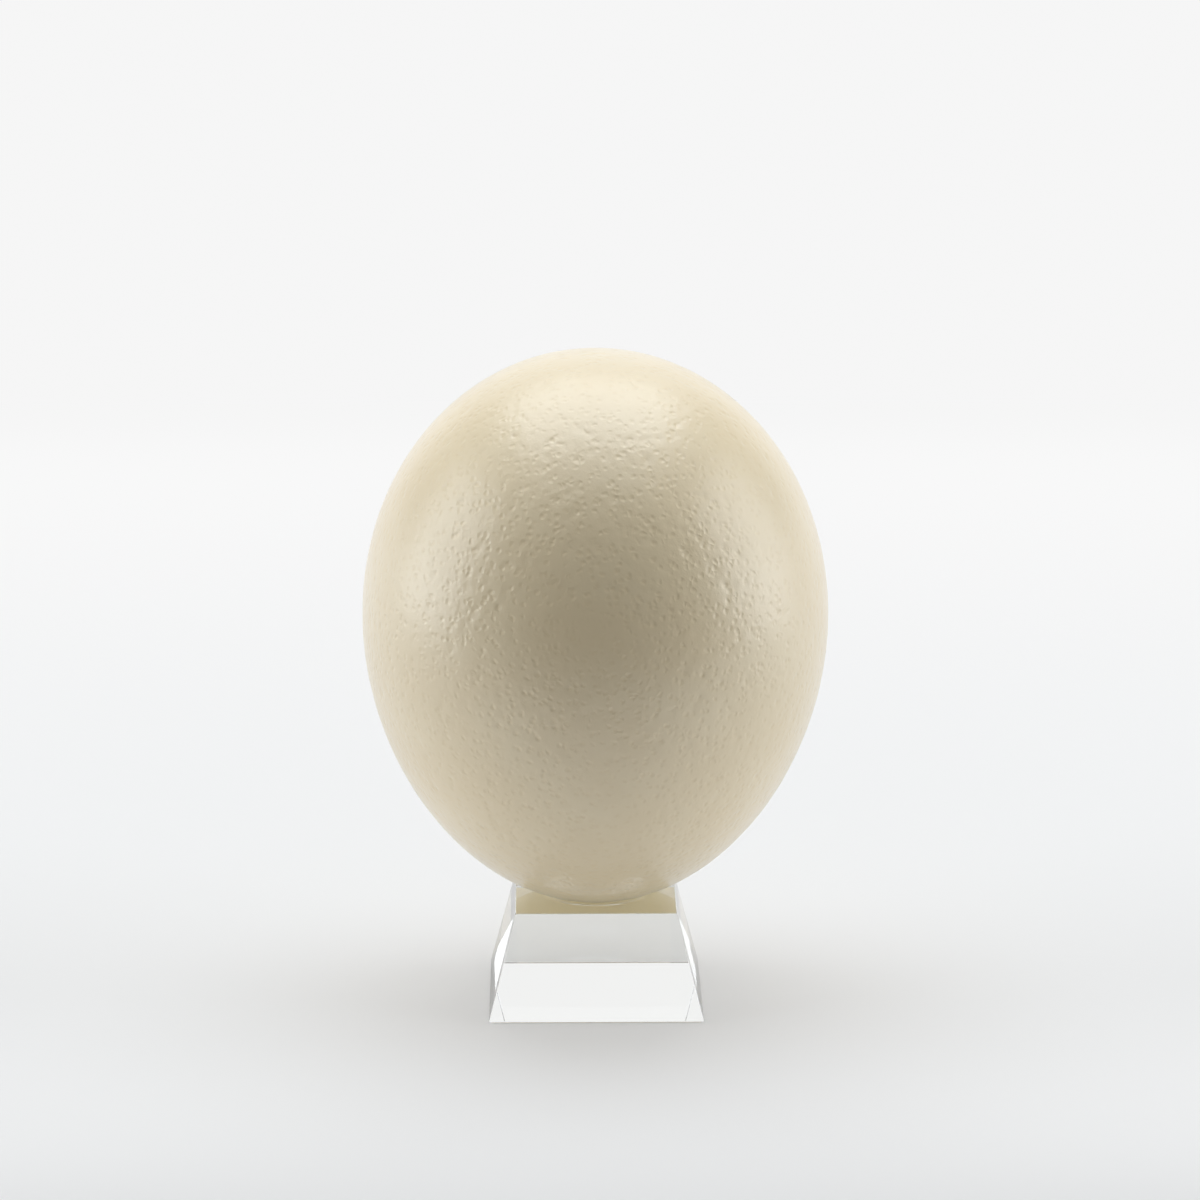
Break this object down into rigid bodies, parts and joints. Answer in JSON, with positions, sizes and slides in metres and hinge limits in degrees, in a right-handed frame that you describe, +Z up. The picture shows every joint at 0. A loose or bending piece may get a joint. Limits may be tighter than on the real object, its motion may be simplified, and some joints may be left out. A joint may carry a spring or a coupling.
{
  "type": "ostrich egg on a clear block stand",
  "caption": "Whole ivory ostrich egg with a pitted shell, standing on its slimmer end in the shallow dish of a clear acrylic block with sloping sides.",
  "frame": {"origin": "middle of the stand's flat underside, on the surface it rests on", "axes": "+Z up through the egg's long axis to its rounder crown; -Y towards the viewer, square to the stand's front face; +X to the viewer's right"},
  "size_m": [0.1294, 0.1294, 0.1837],
  "materials": {
    "eggshell": "satin",
    "clear_acrylic": "polished"
  },
  "bodies": {
    "root": {"egg": "eggshell", "stand": "clear_acrylic"}
  },
  "joints": []
}
